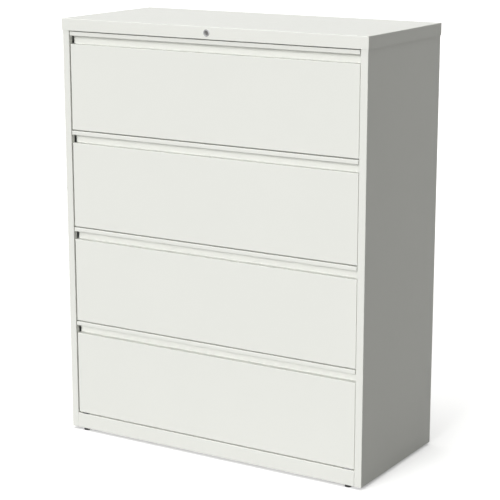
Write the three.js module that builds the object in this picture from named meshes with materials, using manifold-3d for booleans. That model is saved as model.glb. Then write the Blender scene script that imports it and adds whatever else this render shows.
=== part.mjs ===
// Lateral filing cabinet: four wide drawers on telescopic slides in a folded sheet-steel case.
// Millimetres, +Z up. The origin is on the floor under the middle of the case, and the drawers face -Y.
import * as THREE from "three";
import { mergeVertices } from "three/addons/utils/BufferGeometryUtils.js";
import Module from "manifold-3d";

const wasm = await Module();
wasm.setup();

// Overall size, over the top cap and the feet
const WIDTH = 1066.8;
const DEPTH = 473;
const HEIGHT = 1333.5;
const DRAWERS = 4;

// Sheet steel
const SHEET = 1;
const BEND = 1.5;
const BEND_STEPS = 2;
const SEAM = 0.3;

// Facets of round shapes, and how far a hole's cut runs past the wall it goes through
const ROUND = { hexagon: 6, small: 12, coarse: 16, plain: 24, fine: 32 };
const PAST = 5;

// Case
const FOOT_LIFT = 8;
const CAP_HEIGHT = 37;
const CAP_OVERHANG = 2.2;
const CAP_BACK_OVERHANG = SHEET + SEAM;
const CAP_HEM = 12;
const POST_WIDTH = 24;
const POST_RETURN = 16;
const REAR_FLANGE = 20;
const KICK_HEIGHT = 48.5;
const BASE_FLANGE = 30;
const HEADER_SHEET = 1.2;
const WEIGHT_HALF_LENGTH = 350;

// Drawer fronts
const FRONT_GAP = 3.2;
const SIDE_GAP = 2.4;
const LIP_SETBACK = 1.2;
const FACE_SETBACK = 3.4;
const LIP_HEIGHT = 12.5;
const LIP_HEM = 8;
const HEM_SPACING = 2.1;
const PULL_HEIGHT = 38.6;
const PULL_DEPTH = 24.5;
const FRONT_RETURN = 14.6;
const RELIEF = 2;

// Drawer tubs and their hanging rails
const TUB_HALF_WIDTH = 492.5;
const TUB_FLOOR = 14;
const TUB_TOP = 256;
const TUB_FRONT_TOP = 303;
const TUB_REAR = 212;
const RAIL_SHEET = 1.5;
const RAIL_HEIGHT = 14;
const RAIL_LIFT = 4;
const RAIL_HOOK = { width: 12, drop: 8, lap: 3 };
const RAIL_SPACING = 386;
const LEDGE_REACH = 5.5;
const LEDGE_HALF_LENGTH = 478;

// Telescopic slides: cabinet channel, middle channel, drawer channel, nested from the case inwards
const SLIDE_SHEET = 1.5;
const SLIDE_BEND = 2;
const SLIDE_HEIGHT_IN_DRAWER = 84;
const SLIDE_FRONT = -203;
const TRAVEL = 406;
const CABINET_CHANNEL = { near: 3, far: 14.7, half: 23, length: 415 };
const MIDDLE_CHANNEL = { near: 2.3, far: 10.5, half: 17, length: 405 };
const DRAWER_CHANNEL = { near: SEAM, far: 7.5, half: 11, length: 411 };
const CAGE = { width: 4, inset: 0.6, fromMiddle: 5, fromEnd: 13 };
const HOOK = { thickness: 2.5, height: 12, reach: 4.3 };
const SLOT_ROOM = 0.6;

// Slotted uprights inside the case
const UPRIGHT_WIDTH = 40;
const UPRIGHT_SHEET = 1.5;
const UPRIGHT_FRONT = -205;
const UPRIGHT_REAR = 170;
const UPRIGHT_TOP = 1290;

// Screw feet
const GLIDE = { radius: 10.75, chamfer: 1.5, rim: 4.5, crown: 6.5, collar: 7 };
const STEM_RADIUS = 4;
const STEM_TOP = 45;
const FOOT_FROM_SIDE = 49.5;
const FOOT_FROM_FRONT = 13;
const FOOT_FROM_BACK = 20;
const NUT_FLATS = 13;
const NUT_HEIGHT = 6.5;
const ACCESS_HOLE = { width: 26, depth: 18, corner: 3, towardWeb: 2 };
const TURN_ROOM = 0.3;

// Lock: plug and cam, cross bar, and the rod that catches the drawers
const LOCK_BEZEL_RADIUS = 10.5;
const LOCK_BODY_RADIUS = 9.5;
const LOCK_PLUG_RADIUS = 6.2;
const LOCK_PROUD = 1.8;
const LOCK_BODY_REAR = -212;
const LOCK_NUT_RADIUS = 12.5;
const LOCK_NUT_LENGTH = 4;
const KEY_SLOT = { width: 1.8, height: 8, depth: 9 };
const LOCK_TRAVEL = 10;
const CAM_RADIUS = 10;
const CAM_REAR = -207.7;
const CAM_THICKNESS = 2;
const CAM_PIN_RADIUS = 1.8;
const TAIL = 6;
const BAR_FRONT = -206.5;
const BAR_THICKNESS = 2;
const BAR_HEIGHT = 15;
const BAR_BELOW_LOCK = 1.5;
const BAR_LEFT = -18;
const BAR_END_WALL = 5;
const BAR_TO_HEADER = 6;
const BAR_GUIDES = [150, 430];
const BAR_GUIDE_WIDTH = 12;
const BAR_GUIDE_WALL = 2;
const ROD_SIZE = 7;
const ROD_CENTRE = 513.5;
const ROD_REAR = -207;
const ROD_BOTTOM = 75;
const ROD_TOP = 1312;
const PEG_RADIUS = 2;
const PEG_HEIGHT = 1309;
const CATCH_TIP = 496.5;
const CATCH_HEIGHT = 6;
const CATCH_DEPTH = 5.4;
const STRIKE = { bottom: 200, top: 212, reach: 10.5, front: -207, thickness: 2 };
const STRIKE_ROOM = 3;
const ROD_GUIDE_HEIGHTS = [100, 690, 1240];
const ROD_GUIDE_THICKNESS = 8;
const ROD_GUIDE_WALL = 1.6;
const LOCK_ROOM = 0.5;
const SLOT_END_FLAT = 0.05;

// Places worked out from the sizes above
const caseHalf = WIDTH / 2 - CAP_OVERHANG;
const capFront = -DEPTH / 2;
const capBack = DEPTH / 2;
const caseFront = capFront + CAP_OVERHANG;
const caseBack = capBack - CAP_BACK_OVERHANG;
const openHalf = caseHalf - POST_WIDTH;
const kickTop = FOOT_LIFT + KICK_HEIGHT;
const capBottom = HEIGHT - CAP_HEIGHT;
const panelTop = HEIGHT - SHEET - SEAM;
const frontHeight = (capBottom - kickTop - FRONT_GAP * (DRAWERS + 1)) / DRAWERS;
const frontHalf = openHalf - SIDE_GAP;
const lipFront = caseFront + LIP_SETBACK;
const faceFront = caseFront + FACE_SETBACK;
const pullRear = caseFront + PULL_DEPTH;
const tubFront = pullRear + SEAM;
const backPanelRear = caseBack - SHEET - SEAM;
const backPanelFront = backPanelRear - SHEET;
const uprightInner = openHalf + SEAM;
const uprightOuter = caseHalf - SHEET - SEAM;
const footX = caseHalf - FOOT_FROM_SIDE;
const footFrontY = caseFront + FOOT_FROM_FRONT;
const footRearY = backPanelFront - FOOT_FROM_BACK;
const lockHeight = HEIGHT - CAP_HEIGHT / 2;
const barBottom = lockHeight - BAR_BELOW_LOCK;
const camPinRadius = LOCK_TRAVEL / Math.SQRT2;
const cageLength = TRAVEL / 2 - CAGE.fromMiddle - CAGE.fromEnd;
const railY = tubFront + SHEET + LEDGE_REACH + RAIL_SPACING;
const drawerBottom = (number) => capBottom - number * (frontHeight + FRONT_GAP);

// Materials
function finish(color, roughness, metalness) {
  return new THREE.MeshStandardMaterial({ color, roughness, metalness });
}

const whitePaint = finish(0xe8e9e4, 0.45, 0);
const zincSteel = finish(0xb9bcbe, 0.4, 0.9);
const chrome = finish(0xc4c6c8, 0.2, 1);
const blackNylon = finish(0x141414, 0.55, 0);
const castIron = finish(0x3a3b3c, 0.7, 0.6);

// Closed triangle meshes to solids and back, for joining and cutting
function solidOf(geometry) {
  const bare = geometry.clone();
  bare.deleteAttribute("normal");
  bare.deleteAttribute("uv");
  const merged = mergeVertices(bare, 1e-4);
  return new wasm.Manifold(
    new wasm.Mesh({
      numProp: 3,
      vertProperties: merged.attributes.position.array,
      triVerts: new Uint32Array(merged.index.array),
    }),
  );
}

function geometryOf(solid) {
  const { numProp, numVert, vertProperties, triVerts } = solid.getMesh();
  const positions = new Float32Array(numVert * 3);
  for (let i = 0; i < numVert; i++) {
    positions.set(vertProperties.subarray(i * numProp, i * numProp + 3), i * 3);
  }
  const geometry = new THREE.BufferGeometry();
  geometry.setAttribute("position", new THREE.BufferAttribute(positions, 3));
  geometry.setIndex(new THREE.BufferAttribute(new Uint32Array(triVerts), 1));
  geometry.computeVertexNormals();
  return geometry;
}

function join(first, ...others) {
  return geometryOf(others.reduce((whole, other) => whole.add(solidOf(other)), solidOf(first)));
}

function cut(first, ...tools) {
  return geometryOf(tools.reduce((whole, tool) => whole.subtract(solidOf(tool)), solidOf(first)));
}

function common(first, second) {
  return geometryOf(solidOf(first).intersect(solidOf(second)));
}

// A block between two corners, given in any order along each axis
function block([x0, x1], [y0, y1], [z0, z1]) {
  const size = [x1 - x0, y1 - y0, z1 - z0].map(Math.abs);
  return new THREE.BoxGeometry(...size).translate((x0 + x1) / 2, (y0 + y1) / 2, (z0 + z1) / 2);
}

// A round bar along Y or Z
function barAlongY(radius, [y0, y1], x, z, sides = ROUND.plain) {
  const bar = new THREE.CylinderGeometry(radius, radius, Math.abs(y1 - y0), sides);
  return bar.translate(0, (y0 + y1) / 2, 0).translate(x, 0, z);
}

function barAlongZ(radius, [z0, z1], x, y, sides = ROUND.plain) {
  const bar = new THREE.CylinderGeometry(radius, radius, z1 - z0, sides).rotateX(Math.PI / 2);
  return bar.translate(x, y, (z0 + z1) / 2);
}

// Section of a folded sheet: a middle line with a round bend at each corner, thickened to both sides
function foldedSection(corners, thickness, bend) {
  const points = corners.map(([u, v]) => new THREE.Vector2(u, v));
  const line = [];
  const addPoint = (point, direction) => {
    const side = new THREE.Vector2(-direction.y, direction.x).multiplyScalar(thickness / 2);
    line.push({ left: point.clone().add(side), right: point.clone().sub(side) });
  };
  const towards = (a, b) => b.clone().sub(a).normalize();
  addPoint(points[0], towards(points[0], points[1]));
  for (let i = 1; i < points.length - 1; i++) {
    const before = towards(points[i - 1], points[i]);
    const after = towards(points[i], points[i + 1]);
    const turn = Math.atan2(before.cross(after), before.dot(after));
    const radius = corners[i][2] ?? bend;
    const start = points[i].clone().addScaledVector(before, -radius * Math.tan(Math.abs(turn) / 2));
    const inward = new THREE.Vector2(-before.y, before.x).multiplyScalar(Math.sign(turn) * radius);
    const centre = start.clone().add(inward);
    for (let step = 0; step <= BEND_STEPS; step++) {
      const angle = (turn * step) / BEND_STEPS;
      const direction = before.clone().rotateAround(new THREE.Vector2(), angle);
      addPoint(start.clone().rotateAround(centre, angle), direction);
    }
  }
  addPoint(points.at(-1), towards(points.at(-2), points.at(-1)));
  return new THREE.Shape([...line.map((p) => p.left), ...line.map((p) => p.right).reverse()]);
}

// A section pushed along one axis: drawn in (y, z) for X, in (x, z) for Y and in (x, y) for Z
function extrude(shape, axis, from, to) {
  const [x, y, z] = [new THREE.Vector3(1, 0, 0), new THREE.Vector3(0, 1, 0), new THREE.Vector3(0, 0, 1)];
  const solid = new THREE.ExtrudeGeometry(shape, { depth: to - from, bevelEnabled: false });
  if (axis === "x") solid.applyMatrix4(new THREE.Matrix4().makeBasis(y, z, x)).translate(from, 0, 0);
  if (axis === "y") solid.applyMatrix4(new THREE.Matrix4().makeBasis(x, z, y.negate())).translate(0, to, 0);
  if (axis === "z") solid.translate(0, 0, from);
  return solid;
}

// A rectangle with round corners, centred on a point
function roundedRectangle(width, height, radius, x = 0, y = 0) {
  const [u, v] = [width / 2 - radius, height / 2 - radius];
  const shape = new THREE.Shape();
  shape.absarc(x + u, y + v, radius, 0, Math.PI / 2);
  shape.absarc(x - u, y + v, radius, Math.PI / 2, Math.PI);
  shape.absarc(x - u, y - v, radius, Math.PI, Math.PI * 1.5);
  shape.absarc(x + u, y - v, radius, Math.PI * 1.5, Math.PI * 2);
  return new THREE.Shape(shape.getPoints(BEND_STEPS));
}

function piece(name, geometry, material, position = [0, 0, 0]) {
  const mesh = new THREE.Mesh(geometry, material);
  mesh.name = name;
  mesh.position.set(...position);
  return mesh;
}

const SIDES = { left: -1, right: 1 };

// Side panel: one sheet folded into the front post with its return, the side, and a rear flange
function sidePanel(side) {
  const sign = SIDES[side];
  const half = SHEET / 2;
  const section = foldedSection(
    [
      [sign * (openHalf + half), caseFront + POST_RETURN],
      [sign * (openHalf + half), caseFront + half],
      [sign * (caseHalf - half), caseFront + half],
      [sign * (caseHalf - half), caseBack - half],
      [sign * (caseHalf - REAR_FLANGE), caseBack - half],
    ],
    SHEET,
    BEND,
  );
  return piece(`${side}_side_panel`, extrude(section, "z", FOOT_LIFT, panelTop), whitePaint);
}

function backPanel() {
  const half = uprightOuter - BEND;
  const sheet = block([-half, half], [backPanelFront, backPanelRear], [FOOT_LIFT, panelTop]);
  return piece("back_panel", sheet, whitePaint);
}

// Top cap: a shallow open box, round along its top edges, with a hem under its front and the lock's hole
function topCap() {
  const outer = BEND + SHEET / 2;
  const crown = (half) => {
    const shape = new THREE.Shape();
    shape.moveTo(-half, capBottom);
    shape.lineTo(half, capBottom);
    shape.absarc(half - outer, HEIGHT - outer, outer, 0, Math.PI / 2);
    shape.absarc(outer - half, HEIGHT - outer, outer, Math.PI / 2, Math.PI);
    return new THREE.Shape(shape.getPoints(BEND_STEPS));
  };
  const lengthwise = extrude(crown(capBack), "x", -WIDTH / 2, WIDTH / 2);
  const crosswise = extrude(crown(WIDTH / 2), "y", capFront, capBack);
  const inside = block(
    [SHEET - WIDTH / 2, WIDTH / 2 - SHEET],
    [capFront + SHEET, capBack - SHEET],
    [capBottom - SHEET, HEIGHT - SHEET],
  );
  const hemHalf = openHalf - SIDE_GAP;
  const hem = block(
    [-hemHalf, hemHalf],
    [capFront + SHEET / 2, capFront + CAP_HEM],
    [capBottom, capBottom + SHEET],
  );
  const shell = join(cut(common(lengthwise, crosswise), inside), hem);
  const throughFront = [capFront - SHEET, capFront + 2 * SHEET];
  const lockHole = barAlongY(LOCK_BODY_RADIUS + SEAM, throughFront, 0, lockHeight);
  return piece("top_cap", cut(shell, lockHole), whitePaint);
}

// Header rail: an angle between the posts, behind the cap's front, with guides for the lock's cross bar
function headerRail() {
  const half = HEADER_SHEET / 2;
  const webRear = BAR_FRONT + BAR_THICKNESS + BAR_TO_HEADER;
  const floor = capBottom + SHEET + LOCK_ROOM;
  const section = foldedSection(
    [
      [caseFront + SHEET, floor + half],
      [webRear - half, floor + half],
      [webRear - half, panelTop - SHEET],
    ],
    HEADER_SHEET,
    BEND,
  );
  const rail = extrude(section, "x", SEAM - openHalf, openHalf - SEAM);
  const guides = BAR_GUIDES.map((x) => {
    const body = block(
      [x - BAR_GUIDE_WIDTH / 2, x + BAR_GUIDE_WIDTH / 2],
      [BAR_FRONT - BAR_GUIDE_WALL, webRear - half],
      [barBottom - BAR_GUIDE_WALL, barBottom + BAR_HEIGHT + BAR_GUIDE_WALL],
    );
    const way = block(
      [x - BAR_GUIDE_WIDTH, x + BAR_GUIDE_WIDTH],
      [BAR_FRONT - LOCK_ROOM, BAR_FRONT + BAR_THICKNESS + LOCK_ROOM],
      [barBottom - LOCK_ROOM, barBottom + BAR_HEIGHT + LOCK_ROOM],
    );
    return cut(body, way);
  });
  return piece("header_rail", join(rail, ...guides), whitePaint);
}

// Base rails: a channel across the bottom, with a threaded seat for each foot and a hole to reach it by
function baseRail(name, [webOuter, flangeEnd], footY, halfLength) {
  const half = SHEET / 2;
  const web = webOuter + Math.sign(flangeEnd - webOuter) * half;
  const section = foldedSection(
    [
      [flangeEnd, kickTop - half],
      [web, kickTop - half],
      [web, FOOT_LIFT + half],
      [flangeEnd, FOOT_LIFT + half],
    ],
    SHEET,
    BEND,
  );
  const channel = extrude(section, "x", -halfLength, halfLength);
  const nutRadius = NUT_FLATS / Math.sqrt(3);
  const flangeTop = FOOT_LIFT + SHEET;
  const nuts = [-footX, footX].map((x) =>
    barAlongZ(nutRadius, [flangeTop - half, flangeTop + NUT_HEIGHT], x, footY, ROUND.hexagon),
  );
  const threads = [-footX, footX].map((x) =>
    barAlongZ(STEM_RADIUS + TURN_ROOM, [0, flangeTop + NUT_HEIGHT + PAST], x, footY, ROUND.coarse),
  );
  const { width, depth, corner, towardWeb } = ACCESS_HOLE;
  const accessY = footY + Math.sign(webOuter - flangeEnd) * towardWeb;
  const access = [-footX, footX].map((x) =>
    extrude(roundedRectangle(width, depth, corner, x, accessY), "z", kickTop - 2 * SHEET, kickTop + SHEET),
  );
  return piece(name, cut(join(channel, ...nuts), ...threads, ...access), whitePaint);
}

// Screw foot: a nylon glide on a threaded stem
function foot(name, x, y) {
  const outline = [
    [0, 0],
    [GLIDE.radius - GLIDE.chamfer, 0],
    [GLIDE.radius, GLIDE.chamfer],
    [GLIDE.radius, GLIDE.rim],
    [GLIDE.collar, GLIDE.crown],
    [STEM_RADIUS, GLIDE.crown],
    [STEM_RADIUS, STEM_TOP],
    [0, STEM_TOP],
  ].map(([r, z]) => new THREE.Vector2(r, z));
  const turned = new THREE.LatheGeometry(outline, ROUND.coarse).rotateX(Math.PI / 2);
  return piece(name, turned, blackNylon, [x, y, 0]);
}

// Bar of iron that lies in the rear base rail and keeps the cabinet from tipping
function counterweight() {
  const rear = backPanelFront - SHEET - BEND;
  const bar = block(
    [-WEIGHT_HALF_LENGTH, WEIGHT_HALF_LENGTH],
    [rear - BASE_FLANGE, rear],
    [FOOT_LIFT + SHEET + BEND / 2, kickTop - SHEET - BEND],
  );
  return piece("counterweight", bar, castIron);
}

// Uprights: channels along the case sides, slotted where the slides hook in
const hookY = { front: UPRIGHT_FRONT + UPRIGHT_WIDTH / 2, rear: UPRIGHT_REAR + UPRIGHT_WIDTH / 2 };

function upright(side, end) {
  const sign = SIDES[side];
  const half = UPRIGHT_SHEET / 2;
  const y0 = end === "front" ? UPRIGHT_FRONT : UPRIGHT_REAR;
  const y1 = y0 + UPRIGHT_WIDTH;
  const section = foldedSection(
    [
      [sign * uprightOuter, y0 + half],
      [sign * (uprightInner + half), y0 + half],
      [sign * (uprightInner + half), y1 - half],
      [sign * uprightOuter, y1 - half],
    ],
    UPRIGHT_SHEET,
    SLIDE_BEND,
  );
  const channel = extrude(section, "z", FOOT_LIFT + SEAM, UPRIGHT_TOP);
  const halfWide = HOOK.thickness / 2 + SLOT_ROOM;
  const halfTall = HOOK.height / 2 + SLOT_ROOM;
  const slots = Array.from({ length: DRAWERS }, (_, i) => {
    const z = drawerBottom(i + 1) + SLIDE_HEIGHT_IN_DRAWER;
    const [x0, x1] = [uprightInner - SHEET, uprightInner + 2 * UPRIGHT_SHEET].map((x) => sign * x);
    return block([x0, x1], [hookY[end] - halfWide, hookY[end] + halfWide], [z - halfTall, z + halfTall]);
  });
  const slotted = cut(channel, ...slots);
  const carriesRod = side === "right" && end === "front";
  return piece(`${side}_${end}_upright`, carriesRod ? withRodGuides(slotted) : slotted, zincSteel);
}

// Square eyes on the right front upright, which the lock rod slides through
function withRodGuides(channel) {
  const reach = ROD_SIZE / 2 + LOCK_ROOM;
  const rodY = ROD_REAR - ROD_SIZE / 2;
  const eyes = ROD_GUIDE_HEIGHTS.map((z) =>
    block(
      [uprightInner, ROD_CENTRE + reach + ROD_GUIDE_WALL],
      [rodY - reach - ROD_GUIDE_WALL, UPRIGHT_FRONT + UPRIGHT_SHEET],
      [z, z + ROD_GUIDE_THICKNESS],
    ),
  );
  const way = block(
    [ROD_CENTRE - reach, ROD_CENTRE + reach],
    [rodY - reach, rodY + reach],
    [ROD_GUIDE_HEIGHTS[0] - PAST, ROD_GUIDE_HEIGHTS.at(-1) + ROD_GUIDE_THICKNESS + PAST],
  );
  return cut(join(channel, ...eyes), way);
}

// Slide channels: C sections that nest beside the tub, with near and far counted from the tub's side
function slideChannel(side, { near, far, half, length }, opensToCase) {
  const sign = SIDES[side];
  const t = SLIDE_SHEET / 2;
  const web = opensToCase ? near + t : far - t;
  const tip = opensToCase ? far : near;
  const at = (u) => sign * (TUB_HALF_WIDTH + u);
  const corners = [
    [at(tip), half - t],
    [at(web), half - t],
    [at(web), t - half],
    [at(tip), t - half],
  ];
  const section = foldedSection(corners, SLIDE_SHEET, SLIDE_BEND);
  return extrude(section, "y", SLIDE_FRONT, SLIDE_FRONT + length);
}

function cabinetChannel(number, side) {
  const sign = SIDES[side];
  const channel = slideChannel(side, CABINET_CHANNEL, false);
  const webOuter = TUB_HALF_WIDTH + CABINET_CHANNEL.far;
  const hooks = [hookY.front, hookY.rear].map((y) =>
    block(
      [sign * (webOuter - SLIDE_SHEET / 2), sign * (webOuter + HOOK.reach)],
      [y - HOOK.thickness / 2, y + HOOK.thickness / 2],
      [-HOOK.height / 2, HOOK.height / 2],
    ),
  );
  return piece(`drawer_${number}_${side}_cabinet_channel`, join(channel, ...hooks), zincSteel);
}

// Middle channel with its ball cages: one pair runs in the cabinet channel, the other on the drawer channel
function middleChannel(number, side) {
  const sign = SIDES[side];
  const channel = slideChannel(side, MIDDLE_CHANNEL, false);
  const middle = SLIDE_FRONT + MIDDLE_CHANNEL.length / 2;
  const rear = [middle + CAGE.fromMiddle, middle + CAGE.fromMiddle + cageLength];
  const front = [middle - CAGE.fromMiddle - cageLength, middle - CAGE.fromMiddle];
  const across = (nearest) => [nearest, nearest + CAGE.width].map((u) => sign * (TUB_HALF_WIDTH + u));
  const outerGap = [MIDDLE_CHANNEL.half - SLIDE_SHEET / 2, CABINET_CHANNEL.half - SLIDE_SHEET - SEAM];
  const innerGap = [DRAWER_CHANNEL.half + SEAM, MIDDLE_CHANNEL.half - SLIDE_SHEET / 2];
  const cages = [1, -1].flatMap((up) => [
    block(across(CABINET_CHANNEL.near + CAGE.inset), rear, outerGap.map((z) => up * z)),
    block(across(MIDDLE_CHANNEL.near + CAGE.inset), front, innerGap.map((z) => up * z)),
  ]);
  return piece(`drawer_${number}_${side}_middle_channel`, join(channel, ...cages), zincSteel);
}

function drawerChannel(number, side) {
  const channel = slideChannel(side, DRAWER_CHANNEL, true);
  return piece(`drawer_${number}_${side}_drawer_channel`, channel, zincSteel, [0, 0, SLIDE_HEIGHT_IN_DRAWER]);
}

// Drawer front: one sheet folded from the hemmed lip over the finger pull to the face and its bottom flange
function drawerFront(number) {
  const half = SHEET / 2;
  const hemBend = HEM_SPACING / 2;
  const pullFloor = frontHeight - PULL_HEIGHT - half;
  const lipBottom = frontHeight - LIP_HEIGHT + half;
  const section = foldedSection(
    [
      [lipFront + half + HEM_SPACING, lipBottom + LIP_HEM],
      [lipFront + half + HEM_SPACING, lipBottom, hemBend],
      [lipFront + half, lipBottom, hemBend],
      [lipFront + half, frontHeight - half],
      [pullRear - half, frontHeight - half],
      [pullRear - half, pullFloor],
      [faceFront + half, pullFloor],
      [faceFront + half, half],
      [pullRear, half],
    ],
    SHEET,
    BEND,
  );
  const sheet = extrude(section, "x", -frontHalf, frontHalf);
  const returns = Object.values(SIDES).map((sign) =>
    block(
      [sign * (frontHalf - SHEET), sign * frontHalf],
      [faceFront + half, faceFront + FRONT_RETURN],
      [half, pullFloor - half - RELIEF],
    ),
  );
  return piece(`drawer_${number}_front`, join(sheet, ...returns), whitePaint);
}

// Drawer tub: a welded pan with a tall front wall, a ledge for hanging folders and the lock's strike
function drawerTub(number) {
  const inner = TUB_HALF_WIDTH - SHEET;
  const pan = cut(
    block([-TUB_HALF_WIDTH, TUB_HALF_WIDTH], [tubFront, TUB_REAR], [TUB_FLOOR, TUB_TOP]),
    block([-inner, inner], [tubFront + SHEET, TUB_REAR - SHEET], [TUB_FLOOR + SHEET, TUB_TOP + SHEET]),
  );
  const frontWall = block(
    [-TUB_HALF_WIDTH, TUB_HALF_WIDTH],
    [tubFront, tubFront + SHEET],
    [TUB_TOP - SHEET, TUB_FRONT_TOP],
  );
  const ledgeTop = TUB_TOP + RAIL_LIFT;
  const ledgeRear = tubFront + SHEET + LEDGE_REACH;
  const ledgeEnds = [-LEDGE_HALF_LENGTH, LEDGE_HALF_LENGTH];
  const ledgeBottom = ledgeTop - RAIL_HEIGHT;
  const ledge = join(
    block(ledgeEnds, [tubFront + SHEET / 2, ledgeRear], [ledgeBottom, ledgeBottom + RAIL_SHEET]),
    block(ledgeEnds, [ledgeRear - RAIL_SHEET, ledgeRear], [ledgeBottom, ledgeTop]),
  );
  const strike = block(
    [inner, TUB_HALF_WIDTH + STRIKE.reach],
    [STRIKE.front, STRIKE.front + STRIKE.thickness],
    [STRIKE.bottom, STRIKE.top],
  );
  return piece(`drawer_${number}_tub`, join(pan, frontWall, ledge, strike), whitePaint);
}

// Hanging rail: a strip across the tub, with an end that hooks over each side
function hangRail(number) {
  const inner = TUB_HALF_WIDTH - SHEET - LOCK_ROOM;
  const top = TUB_TOP + RAIL_LIFT;
  const along = [railY, railY + RAIL_SHEET];
  const strip = block([-inner, inner], along, [top - RAIL_HEIGHT, top]);
  const outside = TUB_HALF_WIDTH + LOCK_ROOM;
  const saddle = TUB_TOP + SEAM;
  const hookAlong = [railY - RAIL_HOOK.width / 2, railY + RAIL_SHEET + RAIL_HOOK.width / 2];
  const ends = Object.values(SIDES).flatMap((sign) => {
    const over = [inner - RAIL_HOOK.lap, outside + RAIL_SHEET].map((x) => sign * x);
    const down = [outside, outside + RAIL_SHEET].map((x) => sign * x);
    return [
      block(over, hookAlong, [saddle, saddle + RAIL_SHEET]),
      block(down, hookAlong, [TUB_TOP - RAIL_HOOK.drop, saddle + RAIL_SHEET]),
    ];
  });
  return piece(`drawer_${number}_hang_rail`, join(strip, ...ends), zincSteel);
}

// Lock housing: a threaded barrel with a round bezel, held in the cap by a ring nut
function lockHousing() {
  const rim = [capFront - LOCK_PROUD, capFront - SEAM];
  const bezel = barAlongY(LOCK_BEZEL_RADIUS, rim, 0, lockHeight, ROUND.fine);
  const barrel = barAlongY(LOCK_BODY_RADIUS, [capFront - LOCK_PROUD / 2, LOCK_BODY_REAR], 0, lockHeight);
  const through = [capFront - PAST, LOCK_BODY_REAR + PAST];
  const bore = barAlongY(LOCK_PLUG_RADIUS + TURN_ROOM, through, 0, lockHeight);
  return piece("lock_housing", cut(join(bezel, barrel), bore), chrome);
}

function lockNut() {
  const front = capFront + SHEET + SEAM;
  const rear = front + LOCK_NUT_LENGTH;
  const ring = barAlongY(LOCK_NUT_RADIUS, [front, rear], 0, lockHeight, ROUND.small);
  const bore = barAlongY(LOCK_BODY_RADIUS + TURN_ROOM, [front - PAST, rear + PAST], 0, lockHeight);
  return piece("lock_nut", cut(ring, bore), zincSteel);
}

// Lock plug: turns in the housing, with a key slot in front and a square tail behind
function lockPlug() {
  const front = capFront - LOCK_PROUD + SEAM;
  const rear = CAM_REAR - CAM_THICKNESS - SEAM;
  const plug = barAlongY(LOCK_PLUG_RADIUS, [front, rear], 0, lockHeight);
  const tail = block(
    [-TAIL / 2, TAIL / 2],
    [rear - SHEET, CAM_REAR + SEAM],
    [lockHeight - TAIL / 2, lockHeight + TAIL / 2],
  );
  const { width, height, depth } = KEY_SLOT;
  const slot = block(
    [-width / 2, width / 2],
    [front - SHEET, front + depth],
    [lockHeight - height / 2, lockHeight + height / 2],
  );
  return piece("lock_plug", cut(join(plug, tail), slot), chrome);
}

// Cam: a disc on the plug's tail whose pin works in the cross bar's slot
function lockCam() {
  const front = CAM_REAR - CAM_THICKNESS;
  const disc = barAlongY(CAM_RADIUS, [front, CAM_REAR], 0, lockHeight);
  const seat = TAIL / 2 + SEAM;
  const hole = block([-seat, seat], [front - PAST, CAM_REAR + PAST], [lockHeight - seat, lockHeight + seat]);
  const offset = camPinRadius / Math.SQRT2;
  const along = [CAM_REAR - CAM_THICKNESS / 2, BAR_FRONT + BAR_THICKNESS + CAM_PIN_RADIUS];
  const pin = barAlongY(CAM_PIN_RADIUS, along, -offset, lockHeight + offset, ROUND.small);
  return piece("lock_cam", join(cut(disc, hole), pin), zincSteel);
}

// Cross bar: slides sideways when the key turns, and lifts the rod by a slanting slot at its right end
function lockBar() {
  const thick = [BAR_FRONT, BAR_FRONT + BAR_THICKNESS];
  const through = [BAR_FRONT - PAST, BAR_FRONT + BAR_THICKNESS + PAST];
  const plateLeft = ROD_CENTRE - LOCK_TRAVEL - BAR_END_WALL;
  const plateRight = ROD_CENTRE + BAR_END_WALL;
  const barTop = barBottom + BAR_HEIGHT;
  const strip = block([BAR_LEFT, plateRight], thick, [barBottom, barTop]);
  const plate = block([plateLeft, plateRight], thick, [PEG_HEIGHT - BAR_END_WALL, barTop]);
  const offset = camPinRadius / Math.SQRT2;
  const pinHalf = CAM_PIN_RADIUS + LOCK_ROOM;
  const pinSlot = block(
    [-offset - pinHalf, -offset + pinHalf],
    through,
    [lockHeight + offset - pinHalf, lockHeight + camPinRadius + pinHalf],
  );
  const slope = roundedRectangle(
    LOCK_TRAVEL * Math.SQRT2 + 2 * (PEG_RADIUS + LOCK_ROOM),
    2 * (PEG_RADIUS + LOCK_ROOM),
    PEG_RADIUS + LOCK_ROOM - SLOT_END_FLAT,
  );
  const slopeSlot = extrude(slope, "y", -BAR_THICKNESS, BAR_THICKNESS)
    .rotateY(Math.PI / 4)
    .translate(ROD_CENTRE - LOCK_TRAVEL / 2, BAR_FRONT + BAR_THICKNESS / 2, PEG_HEIGHT + LOCK_TRAVEL / 2);
  return piece("lock_bar", cut(join(strip, plate), pinSlot, slopeSlot), zincSteel);
}

// Lock rod: a square rod up the right post with a catch for each drawer and a peg in the cross bar's slot
function lockRod() {
  const half = ROD_SIZE / 2;
  const front = ROD_REAR - ROD_SIZE;
  const rod = block([ROD_CENTRE - half, ROD_CENTRE + half], [front, ROD_REAR], [ROD_BOTTOM, ROD_TOP]);
  const pegRear = BAR_FRONT + BAR_THICKNESS + PEG_RADIUS;
  const peg = barAlongY(PEG_RADIUS, [ROD_REAR - PEG_RADIUS, pegRear], ROD_CENTRE, PEG_HEIGHT, ROUND.small);
  const catches = Array.from({ length: DRAWERS }, (_, i) => {
    const top = drawerBottom(i + 1) + STRIKE.bottom - STRIKE_ROOM;
    return block([CATCH_TIP, ROD_CENTRE], [front, front + CATCH_DEPTH], [top - CATCH_HEIGHT, top]);
  });
  return piece("lock_rod", join(rod, peg, ...catches), zincSteel);
}

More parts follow.
